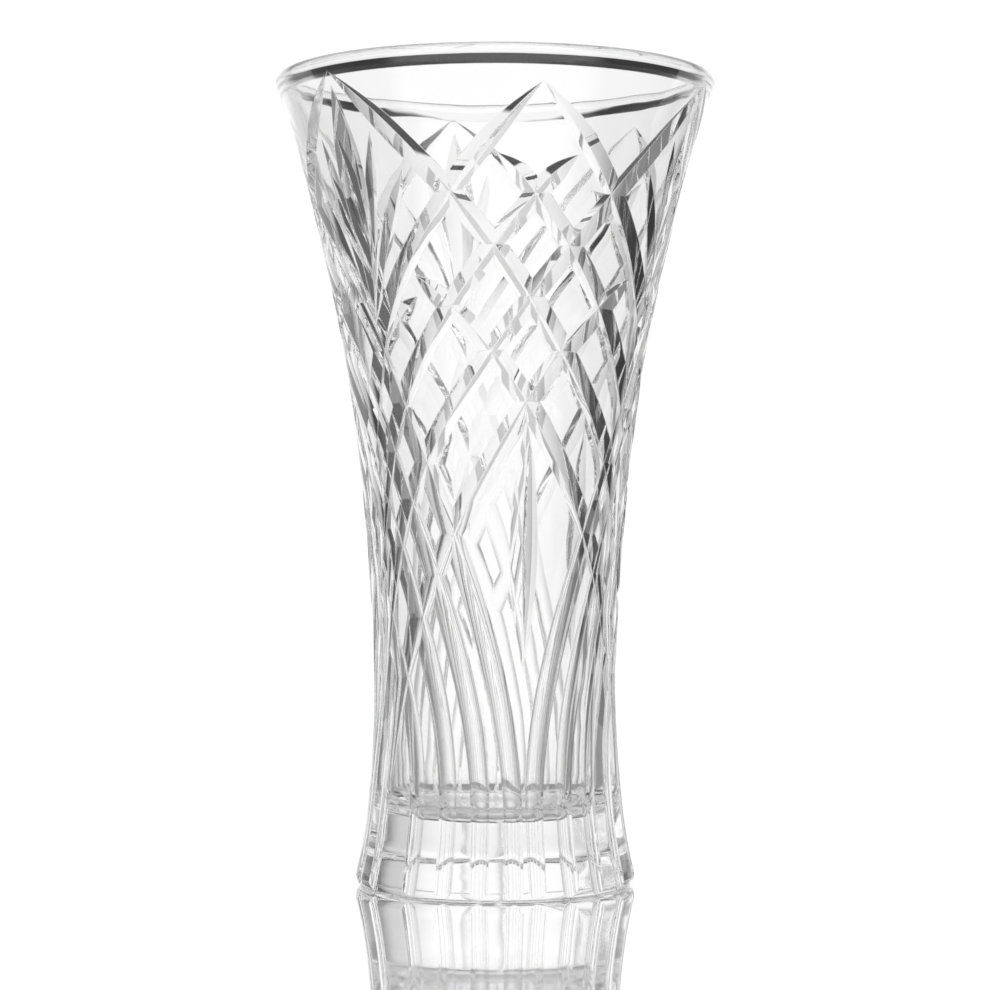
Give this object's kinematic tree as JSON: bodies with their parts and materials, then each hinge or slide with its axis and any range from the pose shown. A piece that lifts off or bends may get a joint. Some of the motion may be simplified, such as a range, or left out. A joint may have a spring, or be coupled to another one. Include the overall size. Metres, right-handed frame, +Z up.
{
  "type": "cut crystal vase",
  "caption": "Flared cut crystal flower vase with a thick foot, narrow waist, plain rim and V-shaped cuts that form arches of diamonds, leaf fans and upright flutes.",
  "frame": {"origin": "centre of the foot's flat resting face", "axes": "+Z up along the vase's axis, -Y towards the middle of one arch of diamonds, which is the front"},
  "size_m": [0.1628, 0.1628, 0.299],
  "materials": {
    "crystal": "clear polished crystal, cut outside, smooth inside"
  },
  "bodies": {
    "root": {"vase_body": "crystal"}
  },
  "joints": []
}
